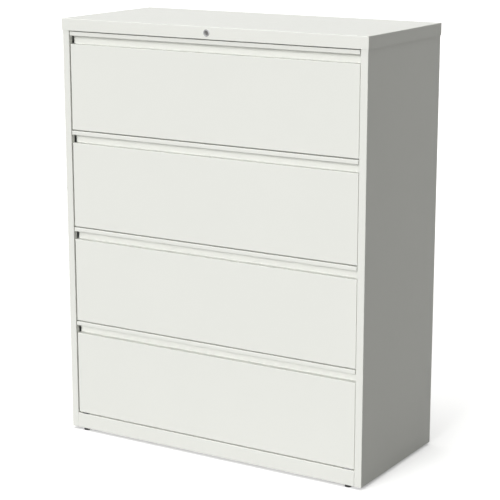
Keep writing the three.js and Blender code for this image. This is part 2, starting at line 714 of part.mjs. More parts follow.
// Assembly
const cabinet = new THREE.Group();
for (const side of Object.keys(SIDES)) {
  cabinet.add(sidePanel(side), upright(side, "front"), upright(side, "rear"));
}
const rearRailWeb = backPanelFront - SEAM;
cabinet.add(
  backPanel(),
  topCap(),
  headerRail(),
  baseRail("kick_plate", [caseFront, caseFront + BASE_FLANGE], footFrontY, openHalf - SEAM),
  baseRail("rear_base_rail", [rearRailWeb, rearRailWeb - BASE_FLANGE], footRearY, openHalf - SEAM),
  counterweight(),
);
for (const [side, sign] of Object.entries(SIDES)) {
  cabinet.add(
    foot(`${side}_front_foot`, sign * footX, footFrontY),
    foot(`${side}_rear_foot`, sign * footX, footRearY),
  );
}
for (let number = 1; number <= DRAWERS; number++) {
  const drawer = new THREE.Group();
  drawer.position.z = drawerBottom(number);
  drawer.add(drawerFront(number), drawerTub(number), hangRail(number));
  const slides = new THREE.Group();
  slides.position.z = drawerBottom(number) + SLIDE_HEIGHT_IN_DRAWER;
  for (const side of Object.keys(SIDES)) {
    drawer.add(drawerChannel(number, side));
    slides.add(cabinetChannel(number, side), middleChannel(number, side));
  }
  cabinet.add(drawer, slides);
}
cabinet.add(lockHousing(), lockNut(), lockPlug(), lockCam(), lockBar(), lockRod());

export default cabinet;
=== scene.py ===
import math

import bmesh
import bpy
from mathutils import Matrix, Vector


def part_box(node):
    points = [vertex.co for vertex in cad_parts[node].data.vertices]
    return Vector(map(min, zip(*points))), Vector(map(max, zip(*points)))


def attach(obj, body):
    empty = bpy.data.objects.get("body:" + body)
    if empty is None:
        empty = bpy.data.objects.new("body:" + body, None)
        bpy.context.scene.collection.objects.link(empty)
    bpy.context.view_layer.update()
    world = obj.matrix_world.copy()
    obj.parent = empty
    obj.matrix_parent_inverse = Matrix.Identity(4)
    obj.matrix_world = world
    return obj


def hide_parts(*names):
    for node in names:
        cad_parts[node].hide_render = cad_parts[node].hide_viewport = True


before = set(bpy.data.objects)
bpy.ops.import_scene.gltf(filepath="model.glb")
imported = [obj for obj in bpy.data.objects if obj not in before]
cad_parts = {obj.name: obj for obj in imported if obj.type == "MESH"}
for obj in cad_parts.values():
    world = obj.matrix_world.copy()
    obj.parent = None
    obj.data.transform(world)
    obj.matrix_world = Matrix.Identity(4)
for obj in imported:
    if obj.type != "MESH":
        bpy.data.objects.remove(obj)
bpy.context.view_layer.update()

# Side panels: each is one cold-rolled sheet, folded on a press brake into the
# front post with its return, the side, and a flange at the rear. They are spot
# welded to the rails and powder coated white with the rest of the case.
MM = 0.001
SHEET = 1.0 * MM
BEND = 1.5 * MM
EDGE = 0.22 * MM
SHARP = math.radians(50)
NEAR = 0.05 * MM
TOUCHING = 0.001 * MM
SIDES = (("left", -1), ("right", 1))
half = SHEET / 2


def start_piece(name):
    """Names the shape just added, and opens it for shaping with all of it selected."""
    shape = bpy.context.object
    shape.name = shape.data.name = name
    bpy.ops.object.mode_set(mode="EDIT")
    bpy.ops.mesh.select_mode(type="EDGE")
    bpy.ops.mesh.select_all(action="SELECT")
    return shape


def set_at(shape, matrix):
    """Puts a piece made about the origin in its place."""
    bpy.ops.object.select_all(action="DESELECT")
    shape.select_set(True)
    bpy.context.view_layer.objects.active = shape
    shape.matrix_world = matrix
    bpy.ops.object.transform_apply(location=True, rotation=True, scale=True)


def from_corner(corner, across, along):
    """The matrix that lays a square of size 1 out from one corner along two edges."""
    across, along = Vector(across), Vector(along)
    axes = Matrix((across, along, across.cross(along).normalized())).transposed().to_4x4()
    return Matrix.Translation(Vector(corner) + (across + along) / 2) @ axes


def flat_sheet(name, corner, across, along):
    """A rectangle of sheet that runs from one corner along two edges."""
    bpy.ops.object.select_all(action="DESELECT")
    bpy.ops.mesh.primitive_plane_add(size=1)
    set_at(bpy.context.object, from_corner(corner, across, along))
    return start_piece(name)


def at(value, place):
    """Whether a coordinate is at a place."""
    return abs(value - place) < NEAR


def pick_edges(shape, test):
    """Selects the edges whose middle passes the test."""
    bpy.ops.mesh.select_all(action="DESELECT")
    mesh = bmesh.from_edit_mesh(shape.data)
    for edge in mesh.edges:
        edge.select_set(test((edge.verts[0].co + edge.verts[1].co) / 2))
    bmesh.update_edit_mesh(shape.data)


def fold(shape, test, *steps):
    """Draws the picked open edges out, one flange after the other."""
    pick_edges(shape, test)
    for step in steps:
        bpy.ops.mesh.extrude_region_move(TRANSFORM_OT_translate={"value": step})


def round_bends(shape, radius, test=lambda middle: True, steps=4, least_turn=60):
    """Rounds each fold that turns by more than some degrees and passes the test."""
    bpy.ops.mesh.select_all(action="DESELECT")
    mesh = bmesh.from_edit_mesh(shape.data)
    for edge in mesh.edges:
        bent = len(edge.link_faces) == 2 and edge.calc_face_angle(0) > math.radians(least_turn)
        edge.select_set(bent and test((edge.verts[0].co + edge.verts[1].co) / 2))
    bmesh.update_edit_mesh(shape.data)
    bpy.ops.mesh.bevel(offset=radius, segments=steps, affect="EDGES", clamp_overlap=False)


def add_modifier(shape, kind, **settings):
    """Adds one modifier to a shape, sets it, and applies it."""
    bpy.context.view_layer.objects.active = shape
    bpy.ops.object.modifier_add(type=kind)
    modifier = shape.modifiers[-1]
    for setting, value in settings.items():
        setattr(modifier, setting, value)
    bpy.ops.object.modifier_apply(modifier=modifier.name)


def end_shaping():
    """Leaves edit mode with all faces turned outwards."""
    bpy.ops.mesh.select_all(action="SELECT")
    bpy.ops.mesh.normals_make_consistent(inside=False)
    bpy.ops.object.mode_set(mode="OBJECT")


def thicken(shape, thickness=SHEET):
    """Gives a folded sheet its thickness, half to each side."""
    end_shaping()
    add_modifier(shape, "SOLIDIFY", thickness=thickness, offset=0, use_even_offset=True)


def cut_away(shape, tool):
    """Cuts a tool's shape out of a piece, and throws the tool away."""
    if tool.mode == "EDIT":
        bpy.ops.object.mode_set(mode="OBJECT")
    add_modifier(shape, "BOOLEAN", operation="DIFFERENCE", solver="EXACT", object=tool)
    bpy.data.objects.remove(tool, do_unlink=True)


def break_edges(shape, edge=EDGE):
    """Ends a piece: its sharp edges broken, its bends shaded round and its flats flat."""
    if shape.mode == "EDIT":
        bpy.ops.object.mode_set(mode="OBJECT")
    bpy.ops.object.select_all(action="DESELECT")
    shape.select_set(True)
    bpy.context.view_layer.objects.active = shape
    bpy.ops.object.mode_set(mode="EDIT")
    end_shaping()
    if edge:
        add_modifier(shape, "BEVEL", width=edge, segments=2, limit_method="ANGLE", angle_limit=SHARP,
                     use_clamp_overlap=True)
    bpy.ops.object.mode_set(mode="EDIT")
    bpy.ops.mesh.select_all(action="SELECT")
    bpy.ops.mesh.dissolve_degenerate(threshold=TOUCHING)
    bpy.ops.object.mode_set(mode="OBJECT")
    bpy.ops.object.shade_smooth_by_angle(angle=SHARP)
    add_modifier(shape, "WEIGHTED_NORMAL", keep_sharp=True, weight=60)


def close_sheet(shape, thickness=SHEET, edge=EDGE):
    """Ends a folded sheet that has no holes to cut."""
    thicken(shape, thickness)
    break_edges(shape, edge)


def connect(material, node, **inputs):
    """Links or sets a node's inputs by name, with _ for a space."""
    for key, value in inputs.items():
        socket = node.inputs[key.replace("_", " ")]
        if isinstance(value, bpy.types.NodeSocket):
            material.node_tree.links.new(value, socket)
        else:
            socket.default_value = value


def add_node(material, kind, settings=None, **inputs):
    """Adds a shader node, sets it, and links or sets its inputs."""
    node = material.node_tree.nodes.new(kind)
    for setting, value in (settings or {}).items():
        setattr(node, setting, value)
    connect(material, node, **inputs)
    return node


def new_material(name):
    """A material whose patterns are laid out in metres on the object."""
    material = bpy.data.materials.new(name)
    material.use_nodes = True
    place = add_node(material, "ShaderNodeTexCoord").outputs["Object"]
    return material, place, material.node_tree.nodes["Principled BSDF"]


def noise(material, place, scale, detail=2, roughness=0.5):
    """A cloudy pattern, with its scale counted to the metre."""
    node = add_node(material, "ShaderNodeTexNoise", Vector=place, Scale=scale, Detail=detail,
                    Roughness=roughness)
    return node.outputs["Fac"]


def spread(material, value, low, high, start=0.3, end=0.7):
    """Spreads a pattern's values between two numbers."""
    node = add_node(material, "ShaderNodeMapRange", Value=value)
    for socket, number in zip(node.inputs[1:5], (start, end, low, high)):
        socket.default_value = number
    return node.outputs["Result"]


def mix_colours(material, share, first, second):
    """A colour between two, by a pattern's value."""
    node = add_node(material, "ShaderNodeMix", {"data_type": "RGBA"}, Factor=share)
    for socket, colour in zip(node.inputs[6:8], (first, second)):
        if isinstance(colour, bpy.types.NodeSocket):
            material.node_tree.links.new(colour, socket)
        else:
            socket.default_value = (*colour, 1)
    return node.outputs[2]


def bump(material, shader, height, strength, distance):
    """Gives a surface a fine relief by a pattern's value."""
    node = add_node(material, "ShaderNodeBump", Height=height, Strength=strength, Distance=distance)
    connect(material, shader, Normal=node.outputs["Normal"])


PAINT_DARK = (0.782, 0.79, 0.75)
PAINT_LIGHT = (0.798, 0.805, 0.765)
PAINT_SPECK = (0.806, 0.812, 0.775)
white_paint, place, shader = new_material("white_powder_coat")
cloud = spread(white_paint, noise(white_paint, place, scale=3.5, detail=3), low=0, high=1)
speck = spread(white_paint, noise(white_paint, place, scale=420), low=0, high=1, start=0.35, end=0.8)
even = mix_colours(white_paint, cloud, PAINT_DARK, PAINT_LIGHT)
satin = spread(white_paint, noise(white_paint, place, scale=45, detail=4), low=0.4, high=0.5)
connect(white_paint, shader, Base_Color=mix_colours(white_paint, speck, even, PAINT_SPECK), Roughness=satin,
        Specular_IOR_Level=0.4)
orange_peel = noise(white_paint, place, scale=850, roughness=0.45)
bump(white_paint, shader, orange_peel, strength=0.16, distance=0.12 * MM)


def dress(shape, material, body, slot, *nodes):
    """Gives a finished piece its material, the body it rides on and the node it stands for."""
    shape.data.materials.clear()
    shape.data.materials.append(material)
    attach(shape, body)
    if nodes:
        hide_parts(*nodes)


POST_RETURN = 16 * MM
REAR_FLANGE = 20 * MM
WELD_MARK = (3.6 * MM, 0.4 * MM, 3.6 * MM)
WELD_DEPTH = 0.2 * MM
WELD_STEP = 110 * MM
WELD_COUNT = 12
for side, sign in SIDES:
    low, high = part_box(f"{side}_side_panel")
    outer = sign * (max(abs(low.x), abs(high.x)) - half)
    inner = sign * (min(abs(low.x), abs(high.x)) + half)
    front, rear = low.y + half, high.y - half
    panel = flat_sheet(f"{side}_side_panel_skin", (outer, front, low.z), (0, rear - front, 0),
                       (0, 0, high.z - low.z))
    fold(panel, lambda p: at(p.y, front), (inner - outer, 0, 0), (0, POST_RETURN - half, 0))
    fold(panel, lambda p: at(p.y, rear), (-sign * (REAR_FLANGE - half), 0, 0))
    round_bends(panel, BEND)
    thicken(panel)
    mark = (outer - sign * REAR_FLANGE / 2, high.y + WELD_MARK[1] - WELD_DEPTH, low.z + WELD_STEP / 2)
    bpy.ops.object.select_all(action="DESELECT")
    bpy.ops.mesh.primitive_uv_sphere_add(segments=16, ring_count=12, radius=1, location=mark, scale=WELD_MARK)
    bpy.ops.object.transform_apply(location=True, rotation=True, scale=True)
    marks = start_piece("weld_marks")
    for _ in range(WELD_COUNT - 1):
        bpy.ops.mesh.duplicate_move(TRANSFORM_OT_translate={"value": (0, 0, WELD_STEP)})
    cut_away(panel, marks)
    break_edges(panel)
    dress(panel, white_paint, "case", "white_paint", f"{side}_side_panel")

# Back panel: a flat sheet let in between the rear flanges and welded to them.
# Two shallow crosswise beads, pressed inwards, keep it from drumming.
BEAD_HALF_LENGTH = 430 * MM
BEAD_WIDTH = 26 * MM
BEAD_DEPTH = 3 * MM
BEAD_SLOPE = 7 * MM
BEAD_BEND = 2.5 * MM
BEAD_LEAST_TURN = 15
BEAD_HEIGHTS = (1 / 3, 2 / 3)
low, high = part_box("back_panel")
middle = (low.y + high.y) / 2
back = flat_sheet("back_panel_skin", (low.x, middle, low.z), (high.x - low.x, 0, 0), (0, 0, high.z - low.z))
beads = [low.z + share * (high.z - low.z) for share in BEAD_HEIGHTS]


def split(x=None, z=None):
    """Scores a line right across the sheet that is being shaped."""
    bpy.ops.mesh.select_all(action="SELECT")
    if x is None:
        bpy.ops.mesh.bisect(plane_co=(0, 0, z), plane_no=(0, 0, 1))
    else:
        bpy.ops.mesh.bisect(plane_co=(x, 0, 0), plane_no=(1, 0, 0))


def pick_faces(shape, test):
    """Selects the faces whose middle passes the test."""
    bpy.ops.mesh.select_mode(type="FACE")
    bpy.ops.mesh.select_all(action="DESELECT")
    mesh = bmesh.from_edit_mesh(shape.data)
    for face in mesh.faces:
        face.select_set(test(face.calc_center_median()))
    bmesh.update_edit_mesh(shape.data)


for z in beads:
    split(z=z - BEAD_WIDTH / 2)
    split(z=z + BEAD_WIDTH / 2)
for x in (-BEAD_HALF_LENGTH, BEAD_HALF_LENGTH):
    split(x=x)
pick_faces(back, lambda p: at(p.x, 0) and any(at(p.z, z) for z in beads))
bpy.ops.mesh.inset(thickness=BEAD_SLOPE, depth=BEAD_DEPTH, use_individual=True)
bpy.ops.mesh.select_mode(type="EDGE")
round_bends(back, BEAD_BEND, least_turn=BEAD_LEAST_TURN)
close_sheet(back)
dress(back, white_paint, "case", "white_paint", "back_panel")

# Kick plate and rear base rail: channels across the bottom of the case, with
# a rounded hole in the top flange over each foot for a screwdriver, and a hex
# nut of zinc-plated steel welded on the bottom flange for the foot's thread.
FLANGE = 30 * MM
HOLE_WIDTH = 26 * MM
HOLE_DEPTH = 18 * MM
HOLE_CORNER = 3 * MM
HOLE_TOWARD_WEB = 2 * MM
THROUGH = 8 * MM
STEM_HOLE = 4.3 * MM
HEXAGON = 6
NUT_FLATS = 13 * MM
NUT_HEIGHT = 6.5 * MM
NUT_EDGE = 0.4 * MM

ZINC_DARK = (0.53, 0.543, 0.555)
ZINC_LIGHT = (0.6, 0.61, 0.618)
zinc, place, shader = new_material("zinc_plated_steel")
lengthwise = add_node(zinc, "ShaderNodeMapping", Vector=place, Scale=(260, 9, 260)).outputs["Vector"]
rolled = noise(zinc, lengthwise, scale=1, detail=3, roughness=0.6)
cells = add_node(zinc, "ShaderNodeTexVoronoi", Vector=place, Scale=130).outputs["Color"]
spangle = spread(zinc, cells, low=0, high=1, start=0, end=1)
connect(zinc, shader, Base_Color=mix_colours(zinc, spangle, ZINC_DARK, ZINC_LIGHT), Metallic=1,
        Roughness=spread(zinc, rolled, low=0.31, high=0.4))
bump(zinc, shader, rolled, strength=0.06, distance=0.04 * MM)


def turned(name, rings, sides=48, hollow=False):
    """A turned piece about Z: a disc or ring drawn out, widened or narrowed ring by ring."""
    radius, height = rings[0]
    bpy.ops.object.select_all(action="DESELECT")
    fill = "NOTHING" if hollow else "NGON"
    bpy.ops.mesh.primitive_circle_add(vertices=sides, radius=radius, fill_type=fill)
    shape = start_piece(name)
    bpy.ops.transform.translate(value=(0, 0, height))
    for ring in rings[1:]:
        bpy.ops.mesh.extrude_region_move(TRANSFORM_OT_translate={"value": (0, 0, ring[1] - height)})
        grow = ring[0] / radius
        bpy.ops.transform.resize(value=(grow, grow, 1), center_override=(0, 0, ring[1]))
        radius, height = ring
    if hollow:
        bpy.ops.mesh.select_all(action="SELECT")
        bpy.ops.mesh.remove_doubles(threshold=TOUCHING)
    return shape


def block(name, middle, size, turn=0):
    """A block of a size about its middle, turned about Z."""
    bpy.ops.object.select_all(action="DESELECT")
    bpy.ops.mesh.primitive_cube_add(size=1, location=middle, rotation=(0, 0, turn), scale=size)
    bpy.ops.object.transform_apply(location=True, rotation=True, scale=True)
    return start_piece(name)


def pin(radius, place, depth=THROUGH, turn=(0, 0, 0)):
    """A tool that cuts a round hole."""
    bpy.ops.object.select_all(action="DESELECT")
    bpy.ops.mesh.primitive_cylinder_add(vertices=32, radius=radius, depth=depth, location=place,
                                        rotation=turn)
    return bpy.context.object


def copy_piece(shape, name, place):
    """A copy with a mesh of its own, put in its place."""
    other = shape.copy()
    other.data = shape.data.copy()
    other.name = other.data.name = name
    other.data.transform(place)
    bpy.context.collection.objects.link(other)
    return other


nut_radius = NUT_FLATS / math.sqrt(3)
nut = turned("weld_nut", [(nut_radius, 0), (nut_radius, NUT_HEIGHT)], HEXAGON)
end_shaping()
cut_away(nut, pin(STEM_HOLE, (0, 0, 0), 4 * NUT_HEIGHT))
break_edges(nut, NUT_EDGE)
for name, end, sign in (("kick_plate", "front", 1), ("rear_base_rail", "rear", -1)):
    low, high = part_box(name)
    web = low.y + half if sign > 0 else high.y - half
    rail = flat_sheet(f"{name}_skin", (low.x, web, low.z + half), (high.x - low.x, 0, 0),
                      (0, 0, high.z - low.z - SHEET))
    for level in (low.z + half, high.z - half):
        fold(rail, lambda p: at(p.z, level) and at(p.y, web), (0, sign * (FLANGE - half), 0))
    round_bends(rail, BEND)
    thicken(rail)
    for side, _ in SIDES:
        foot_low, foot_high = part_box(f"{side}_{end}_foot")
        foot_x, foot_y = (foot_low.x + foot_high.x) / 2, (foot_low.y + foot_high.y) / 2
        hole_y = foot_y - sign * HOLE_TOWARD_WEB
        tool = block("access_hole", (foot_x, hole_y, high.z), (HOLE_WIDTH, HOLE_DEPTH, THROUGH))
        pick_edges(tool, lambda p: at(abs(p.x - foot_x), HOLE_WIDTH / 2)
                   and at(abs(p.y - hole_y), HOLE_DEPTH / 2))
        bpy.ops.mesh.bevel(offset=HOLE_CORNER, segments=5, affect="EDGES")
        cut_away(rail, tool)
        cut_away(rail, pin(STEM_HOLE, (foot_x, foot_y, low.z)))
        seat = Matrix.Translation((foot_x, foot_y, low.z + SHEET))
        dress(copy_piece(nut, f"{side}_{end}_weld_nut", seat), zinc, "case", "zinc_steel")
    break_edges(rail)
    dress(rail, white_paint, "case", "white_paint", name)
bpy.data.objects.remove(nut, do_unlink=True)

# Counterweight: a bar of cast iron laid in the rear base rail, which keeps the
# cabinet from tipping when a full drawer is open. Its skin is rough and unpainted.
IRON_DARK = (0.03, 0.03, 0.032)
IRON_LIGHT = (0.085, 0.08, 0.078)
iron, place, shader = new_material("rough_iron")
crust = noise(iron, place, scale=160, detail=5, roughness=0.65)
connect(iron, shader, Base_Color=mix_colours(iron, crust, IRON_DARK, IRON_LIGHT), Metallic=0.5,
        Roughness=spread(iron, crust, low=0.55, high=0.85))
bump(iron, shader, crust, strength=0.5, distance=0.4 * MM)

CAST_EDGE = 2.5 * MM
DRAFT = 0.96
low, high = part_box("counterweight")
weight = block("counterweight_bar", (low + high) / 2, high - low)
pick_edges(weight, lambda p: at(p.z, high.z))
bpy.ops.transform.resize(value=(1, DRAFT, 1), center_override=(low + high) / 2)
bpy.ops.mesh.select_all(action="SELECT")
bpy.ops.mesh.bevel(offset=CAST_EDGE, segments=4, affect="EDGES")
break_edges(weight, edge=0)
dress(weight, iron, "case", "weight_iron", "counterweight")

# Uprights: channels of zinc-plated strip along the inside of the case, punched
# with a ladder of slots into which the slides hook. The right front one also
# carries three straps that guide the lock's rod.
STRIP = 1.5 * MM
STRIP_BEND = 2 * MM
STRIP_EDGE = 0.15 * MM
SLOT_WIDTH = 3.7 * MM
SLOTS_PER_DRAWER = 12
SLOTS = 47
SLOTS_BELOW = 4
SLIDE_HEIGHT = 84 * MM
DRAWERS = (1, 2, 3, 4)
ENDS = ("front", "rear")
FIRST_WINDOW = 1.5
front_bottoms = [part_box(f"drawer_{number}_front")[0].z for number in DRAWERS]


def remove_faces(shape, test):
    """Takes out the faces whose middle passes the test."""
    pick_faces(shape, test)
    bpy.ops.mesh.delete(type="FACE")
    bpy.ops.mesh.select_mode(type="EDGE")


def punched_strip(name, corner, across, along, window, count):
    """A strip that runs from one corner, with a window punched in every second row along it."""
    rows = 2 * count + 1
    columns = 3
    bpy.ops.object.select_all(action="DESELECT")
    bpy.ops.mesh.primitive_grid_add(x_subdivisions=columns, y_subdivisions=rows, size=1)
    strip = start_piece(name)
    first, last = (edge / Vector(across).length - 0.5 for edge in window)
    pick_edges(strip, lambda p: at(abs(p.x), 0.5 / columns))
    bpy.ops.transform.resize(value=((last - first) * columns, 1, 1), center_override=(0, 0, 0))
    bpy.ops.transform.translate(value=((first + last) / 2, 0, 0))
    remove_faces(strip, lambda p: first < p.x < last and int((p.y + 0.5) * rows) % 2 == 1)
    bpy.ops.object.mode_set(mode="OBJECT")
    set_at(strip, from_corner(corner, across, along))
    return start_piece(name)


row = (front_bottoms[0] - front_bottoms[1]) / SLOTS_PER_DRAWER / 2
lowest_slot = front_bottoms[-1] + SLIDE_HEIGHT - SLOTS_BELOW * 2 * row
ladder_low = lowest_slot - FIRST_WINDOW * row
ladder_high = ladder_low + (2 * SLOTS + 1) * row
for side, sign in SIDES:
    for end in ENDS:
        low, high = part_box(f"left_{end}_upright")
        near, far = -high.x, -low.x
        web = sign * (near + STRIP / 2)
        y_first, y_last = low.y + STRIP / 2, high.y - STRIP / 2
        width = y_last - y_first
        window = ((width - SLOT_WIDTH) / 2, (width + SLOT_WIDTH) / 2)
        upright = punched_strip(f"{side}_{end}_upright_strip", (web, y_first, ladder_low), (0, width, 0),
                                (0, 0, ladder_high - ladder_low), window, SLOTS)
        fold(upright, lambda p: at(p.z, ladder_low), (0, 0, low.z - ladder_low))
        fold(upright, lambda p: at(p.z, ladder_high), (0, 0, high.z - ladder_high))
        for y in (y_first, y_last):
            fold(upright, lambda p: at(p.y, y), (sign * (far - near - STRIP / 2), 0, 0))
        round_bends(upright, STRIP_BEND)
        close_sheet(upright, STRIP, STRIP_EDGE)
        dress(upright, zinc, "case", "zinc_steel", f"{side}_{end}_upright")

STRAP = 1.6 * MM
STRAP_BEND = 1.2 * MM
STRAP_HEIGHT = 8 * MM
STRAP_PLACES = (100 * MM, 690 * MM, 1240 * MM)
ROD = 7 * MM
ROD_ROOM = 0.5 * MM
rod_low, rod_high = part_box("lock_rod")
upright_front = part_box("left_front_upright")[0].y
left = rod_high.x - ROD - ROD_ROOM - STRAP / 2
right = rod_high.x + ROD_ROOM + STRAP / 2
y = rod_low.y - ROD_ROOM - STRAP / 2
strap = flat_sheet("rod_strap", (left, y, 0), (right - left, 0, 0), (0, 0, STRAP_HEIGHT))
for x in (left, right):
    fold(strap, lambda p: at(p.x, x), (0, upright_front - y, 0))
round_bends(strap, STRAP_BEND)
close_sheet(strap, STRAP)
for number, z in enumerate(STRAP_PLACES, 1):
    piece = copy_piece(strap, f"rod_strap_{number}", Matrix.Translation((0, 0, z)))
    dress(piece, zinc, "case", "zinc_steel")
bpy.data.objects.remove(strap, do_unlink=True)

# Header rail: an angle of painted sheet between the posts, behind the cap's front,
# with two eyes that the lock's cross bar slides through.
HEADER_SHEET = 1.2 * MM
GUIDE_PLACES = (150 * MM, 430 * MM)
GUIDE_WIDTH = 12 * MM
GUIDE_WALL = 2 * MM
GUIDE_BEND = 1.2 * MM
BAR_HEIGHT = 15 * MM
BAR_ROOM = 0.5 * MM
low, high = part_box("header_rail")
floor_z, web = low.z + HEADER_SHEET / 2, high.y - HEADER_SHEET / 2
header = flat_sheet("header_rail_angle", (low.x, low.y, floor_z), (high.x - low.x, 0, 0), (0, web - low.y, 0))
fold(header, lambda p: at(p.y, web), (0, 0, high.z - floor_z))
round_bends(header, BEND)
close_sheet(header, HEADER_SHEET)
dress(header, white_paint, "case", "white_paint", "header_rail")

bar_low, bar_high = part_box("lock_bar")
y = bar_low.y - BAR_ROOM - GUIDE_WALL / 2
bottom = bar_high.z - BAR_HEIGHT - BAR_ROOM - GUIDE_WALL / 2
top = bar_high.z + BAR_ROOM + GUIDE_WALL / 2
guide = flat_sheet("bar_guide", (-GUIDE_WIDTH / 2, y, bottom), (GUIDE_WIDTH, 0, 0), (0, 0, top - bottom))
for z in (bottom, top):
    fold(guide, lambda p: at(p.z, z), (0, web - HEADER_SHEET / 2 - y, 0))
round_bends(guide, GUIDE_BEND)
close_sheet(guide, GUIDE_WALL)
for number, x in enumerate(GUIDE_PLACES, 1):
    piece = copy_piece(guide, f"bar_guide_{number}", Matrix.Translation((x, 0, 0)))
    dress(piece, white_paint, "case", "white_paint")
bpy.data.objects.remove(guide, do_unlink=True)

# Top cap: a shallow box folded from one sheet, its corners welded and ground
# smooth before painting. The front edge is hemmed inwards over the top drawer,
# and a round hole in the middle of the front holds the lock.
CAP_HEM = 11.5 * MM
CAP_CORNER = 1.2 * MM
LOCK_HOLE = 9.8 * MM
low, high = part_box("top_cap")
middle = (low + high) / 2 - Vector((0, 0, half / 2))
cap = block("top_cap_skin", middle, high - low - Vector((SHEET, SHEET, half)))
remove_faces(cap, lambda p: at(p.z, low.z))
hem_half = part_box("drawer_1_front")[1].x
for x in (-hem_half, hem_half):
    split(x=x)
pick_edges(cap, lambda p: p.y < low.y + SHEET and at(p.z, low.z) and at(p.x, 0))
bpy.ops.transform.translate(value=(0, 0, half))
bpy.ops.mesh.extrude_region_move(TRANSFORM_OT_translate={"value": (0, CAP_HEM, 0)})
top = high.z - half
round_bends(cap, CAP_CORNER, lambda p: p.z < top - NEAR and abs(abs(p.x) - high.x) < SHEET, steps=3)
round_bends(cap, BEND, lambda p: p.z > top - NEAR, steps=5)
thicken(cap)
lock_low, lock_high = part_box("lock_housing")
lock_z = (lock_low.z + lock_high.z) / 2
cut_away(cap, pin(LOCK_HOLE, (0, low.y, lock_z), turn=(math.pi / 2, 0, 0)))
break_edges(cap)
dress(cap, white_paint, "case", "white_paint", "top_cap")

# Lock: a die-cast housing with a satin-chromed bezel, held behind the cap by a
# ring nut, and a plug with an upright key slot that turns inside it. A cam on the
# plug shifts the cross bar, which lifts the catch rod in the right-hand post.
CHROME_DARK = (0.27, 0.272, 0.275)
CHROME_LIGHT = (0.36, 0.362, 0.365)
chrome, place, shader = new_material("satin_chrome")
fine = noise(chrome, place, scale=900, detail=3)
connect(chrome, shader, Base_Color=mix_colours(chrome, fine, CHROME_DARK, CHROME_LIGHT), Metallic=1,
        Roughness=spread(chrome, fine, low=0.24, high=0.36))
bump(chrome, shader, fine, strength=0.08, distance=0.02 * MM)


def in_mm(rings):
    """Radii and heights that are written in millimetres."""
    return [(radius * MM, height * MM) for radius, height in rings]


LOCK_SIDES = 64
BEZEL = ((6.5, 0.9), (6.9, 0.4), (7.5, 0), (9.2, 0), (10.1, 0.3), (10.5, 0.9), (10.5, 1.5), (9.5, 1.5),
         (9.5, 26.3), (6.5, 26.3), (6.5, 0.9))
to_front = Matrix.Translation((0, lock_low.y, lock_z)) @ Matrix.Rotation(-math.pi / 2, 4, "X")
housing = turned("lock_bezel", in_mm(BEZEL), LOCK_SIDES, hollow=True)
break_edges(housing, edge=0)
set_at(housing, to_front)
dress(housing, chrome, "case", "lock_chrome", "lock_housing")

# The plug's face is nickel with a random tone, painted far darker than bare nickel: painted shade that stands
# for the shadow around the key slot.
PLUG_DARK_WITH_SLOT_SHADE = (0.1, 0.099, 0.096)
PLUG_LIGHT_WITH_SLOT_SHADE = (0.2, 0.198, 0.194)
nickel, place, shader = new_material("dull_nickel")
level = add_node(nickel, "ShaderNodeMapping", Vector=place, Scale=(300, 300, 2400)).outputs["Vector"]
scuffs = noise(nickel, level, scale=1, detail=4)
connect(nickel, shader, Base_Color=mix_colours(nickel, scuffs, PLUG_DARK_WITH_SLOT_SHADE, PLUG_LIGHT_WITH_SLOT_SHADE), Metallic=1,
        Roughness=spread(nickel, scuffs, low=0.35, high=0.55))
bump(nickel, shader, scuffs, strength=0.1, distance=0.02 * MM)

PLUG = ((5.2, 30.9), (6.2, 28.3), (6.2, 1.0), (5.9, 0.45), (5.2, 0.3), (4.4, 0.3), (4.2, 0.5), (3.0, 0.5))
KEY_SLOT = (1.8 * MM, 8 * MM, 18 * MM)
plug = turned("lock_plug_face", in_mm(PLUG), LOCK_SIDES)
end_shaping()
cut_away(plug, block("key_slot", (0, 0, 0), KEY_SLOT))
break_edges(plug, edge=0)
set_at(plug, to_front)
dress(plug, nickel, "lock_core", "lock_chrome", "lock_plug")

# The ring nut, the cam, the cross bar and the catch rod stay as the frame gives them,
# and are zinc plated like the uprights.
for name in ("lock_nut", "lock_cam", "lock_bar", "lock_rod"):
    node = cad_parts[name]
    node.data.materials.clear()
    node.data.materials.append(zinc)

# Slides: three nested channels of zinc-plated strip on either side of a drawer.
# The cabinet channel hooks into the uprights, and the drawer channel is screwed to
# the tub. A channel's near and far faces are counted outwards from the tub's side.
CHANNELS = {"cabinet": {"near": 3 * MM, "far": 14.7 * MM, "half_height": 23 * MM},
            "middle": {"near": 2.3 * MM, "far": 10.5 * MM, "half_height": 17 * MM},
            "drawer": {"near": 0.3 * MM, "far": 7.5 * MM, "half_height": 11 * MM}}
MOVES_WITH = {"cabinet": "case", "middle": "drawer_{}_middle_slides", "drawer": "drawer_{}"}
RIVET_HOLE = 2.6 * MM
HOLE_FROM_END = 30 * MM
tub_half = -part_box("drawer_1_tub")[0].x
slide_z = front_bottoms[0] + SLIDE_HEIGHT


def along_channel(name):
    """Three places along a channel: near its ends and in the middle."""
    low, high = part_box(name)
    return low.y + HOLE_FROM_END, (low.y + high.y) / 2, high.y - HOLE_FROM_END


def repeat_down(shape, material, body, slot, *nodes):
    """Copies what drawer 1 has to the other drawers, and dresses all four."""
    pieces = [shape]
    for number, bottom in zip(DRAWERS[1:], front_bottoms[1:]):
        drop = Matrix.Translation((0, 0, bottom - front_bottoms[0]))
        pieces.append(copy_piece(shape, shape.name.replace("_1_", f"_{number}_"), drop))
    for number, piece in zip(DRAWERS, pieces):
        dress(piece, material, body.format(number), slot, *(node.format(number) for node in nodes))


